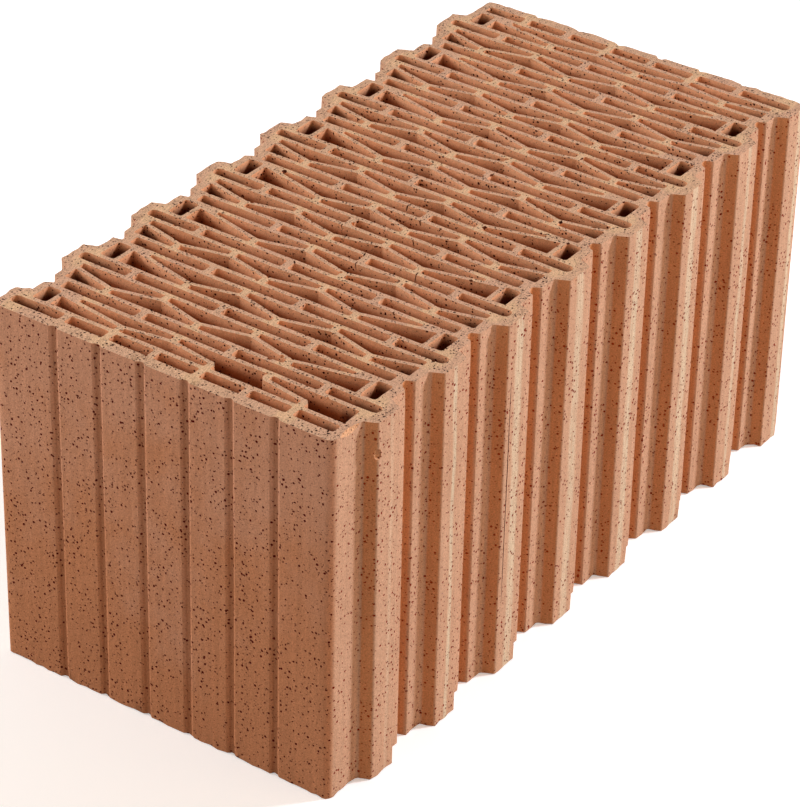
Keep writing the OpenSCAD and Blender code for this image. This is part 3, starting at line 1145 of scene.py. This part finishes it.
@dataclass
class Studio:
    """The camera, the floor and the light.

    Attributes:
        azimuth: Direction of the camera in degrees, where 0 looks along +Y.
        elevation: Height of the camera over the horizon in degrees.
        roll: Turn of the camera about its line of sight in degrees.
        distance: Distance of the camera from the point that it looks at.
        aim_right: How far that point lies to the right of the block's origin, in the picture.
        aim_up: How far it lies above the origin, in the picture.
        lens: Focal length in millimetres.
        sensor: Longer side of the sensor in millimetres.
        sight: How far the camera sees.
        floor_size: Length of the floor's sides.
        floor_seen: Tone of the floor as it is seen.
        floor_bounce: Tone of the floor for the light that it throws back.
        floor_lift: Glow of the floor as it is seen.
        floor_roughness: Roughness of the floor.
        fill: Strength of the even light from all round.
        fill_colour: Colour of the even light.
    """

    azimuth: float = -55.409
    elevation: float = 32.564
    roll: float = 1.428
    distance: float = 2.3325
    aim_right: float = -6.907 * MM
    aim_up: float = 85.333 * MM
    lens: float = 161.76
    sensor: float = 36.0
    sight: float = 100.0
    floor_size: float = 14.0
    floor_seen: float = 0.9
    floor_bounce: float = 0.4
    floor_lift: float = 0.35
    floor_roughness: float = 0.9
    fill: float = 0.24
    fill_colour: Colour = (1.0, 0.79, 0.58)

    def build(self) -> None:
        """Sets up the camera, the floor, the lamps and the world."""
        self.place_camera()
        self.lay_floor()
        for lamp in LAMPS:
            self.hang_lamp(lamp)
        self.light_world()

    @staticmethod
    def towards(azimuth: float, elevation: float) -> Vector:
        """Gives the unit vector from the block towards a place in the room."""
        turn, rise = math.radians(azimuth), math.radians(elevation)
        return Vector((math.sin(turn) * math.cos(rise), -math.cos(turn) * math.cos(rise), math.sin(rise)))

    def place_camera(self) -> None:
        """Puts the camera where the photograph was taken from."""
        back = self.towards(self.azimuth, self.elevation)
        right = Vector((0, 0, 1)).cross(back).normalized()
        up = back.cross(right)
        tilt = Matrix.Rotation(math.radians(self.roll), 3, back)
        right, up = tilt @ right, tilt @ up
        aim = right * self.aim_right + up * self.aim_up
        data = bpy.data.cameras.new("camera")
        data.lens = self.lens
        data.sensor_width = self.sensor
        data.clip_end = self.sight
        camera = bpy.data.objects.new("camera", data)
        turn = Matrix((right, up, back)).transposed().to_4x4()
        camera.matrix_world = Matrix.Translation(aim + back * self.distance) @ turn
        bpy.context.scene.collection.objects.link(camera)
        bpy.context.scene.camera = camera

    @staticmethod
    def seen_rays(sheet: NodeSheet) -> Socket:
        """Gives 1 for rays that show the background, straight or in a reflection, and 0 for its light."""
        rays = sheet.add("LightPath").outputs
        seen = sheet.math("MAXIMUM", rays["Is Camera Ray"], rays["Is Glossy Ray"])
        return sheet.math("MAXIMUM", seen, rays["Is Transmission Ray"])

    def lay_floor(self) -> None:
        """Lays a pale floor under the block."""
        bpy.ops.object.select_all(action="DESELECT")
        bpy.ops.mesh.primitive_plane_add(size=self.floor_size, location=(0, 0, CAD_BOX[0].z))
        floor = bpy.context.object
        floor.name = "floor"
        material = bpy.data.materials.new("floor_paper")
        material.use_nodes = True
        sheet = NodeSheet(material.node_tree)
        seen = self.seen_rays(sheet)
        tone = sheet.add("MapRange", {"Value": seen, "To Min": self.floor_bounce, "To Max": self.floor_seen})
        lift = sheet.math("MULTIPLY", seen, self.floor_lift)
        shader = sheet.add("BsdfPrincipled", {"Roughness": self.floor_roughness, "Emission Color": WHITE})
        sheet.feed(shader.inputs["Base Color"], tone.outputs["Result"])
        sheet.feed(shader.inputs["Emission Strength"], lift)
        leave = sheet.add("OutputMaterial")
        sheet.feed(leave.inputs["Surface"], shader.outputs["BSDF"])
        floor.data.materials.append(material)

    def hang_lamp(self, lamp: Lamp) -> None:
        """Hangs one lamp and turns it to the block.

        Args:
            lamp: The lamp to hang.
        """
        light = bpy.data.lights.new(lamp.name, "AREA")
        light.size = lamp.size
        light.energy = lamp.power
        light.color = lamp.colour
        hung = bpy.data.objects.new(lamp.name, light)
        back = self.towards(lamp.azimuth, lamp.elevation)
        hung.location = back * lamp.distance
        hung.rotation_euler = back.to_track_quat("Z", "Y").to_euler()
        bpy.context.scene.collection.objects.link(hung)

    def light_world(self) -> None:
        """Fills the room with even light and shows white behind the floor."""
        world = bpy.data.worlds.new("room")
        bpy.context.scene.world = world
        world.use_nodes = True
        sheet = NodeSheet(world.node_tree)
        seen = self.seen_rays(sheet)
        level = sheet.add("MapRange", {"Value": seen, "To Min": self.fill, "To Max": 1.0}).outputs["Result"]
        tint = sheet.blend(seen, self.fill_colour, WHITE)
        room = sheet.add("Background", {"Color": tint, "Strength": level})
        leave = sheet.add("OutputWorld")
        sheet.feed(leave.inputs["Surface"], room.outputs["Background"])
        bpy.context.scene.view_settings.view_transform = "Standard"


FINISHES: dict[Region, ClayFinish] = {
    Region.BED: GroundFinish(
        "ground_clay", srgb(202, 158, 130), srgb(205, 163, 131), srgb(50, 22, 14),
        pore_spacing=2.2, pore_radius=0.68, pit_spacing=1.3, pit_radius=0.46, fine_tone=0.22, line_tone=0.0,
        grain_relief=0.12, lump_relief=0.05, roughness=0.92,
    ),
    Region.SKIN: DrawnFinish("drawn_clay_painted_shade", srgb(211, 166, 136), srgb(206, 160, 130), srgb(94, 12, 2)),
    # The hole walls' main colour is lighter than the skin's, which paints light on the walls near the beds; deeper
    # in, HoleFinish paints shade.
    Region.HOLE: HoleFinish(
        "hole_clay_painted_shade", srgb(238, 179, 138), srgb(232, 169, 126), srgb(72, 16, 5),
        pore_spacing=2.7, pore_radius=0.8, fine_tone=0.15, line_tone=0.05, grain_relief=0.14,
        lump_relief=0.4,
    ),
    Region.BREAK: ClayFinish(
        "fresh_break", srgb(228, 176, 136), srgb(212, 140, 94), srgb(120, 56, 28),
        fine_tone=0.3, line_tone=0.0, grain_relief=0.3, lump_relief=0.6, roughness=0.95,
    ),
    # Cracks and ground-open pores are painted dark: partly dust, partly painted shade in the narrow gaps.
    Region.CRACK: ClayFinish(
        "crack_dust_and_shade", srgb(112, 60, 38), srgb(92, 46, 30), srgb(60, 28, 20), line_tone=0.0, roughness=0.95,
    ),
}


def main() -> None:
    """Builds the block, dresses it and sets up the studio."""
    logging.basicConfig(level=logging.INFO, format="%(message)s")
    random.seed(SEED)
    block = FiredBlock()
    piece = block.build()
    effects = Effects()
    block.dress({region: finish.make(effects) for region, finish in FINISHES.items()})
    LOG.info("%s: %d faces", piece.name, len(piece.data.polygons))
    Studio().build()


if __name__ == "__main__":
    main()
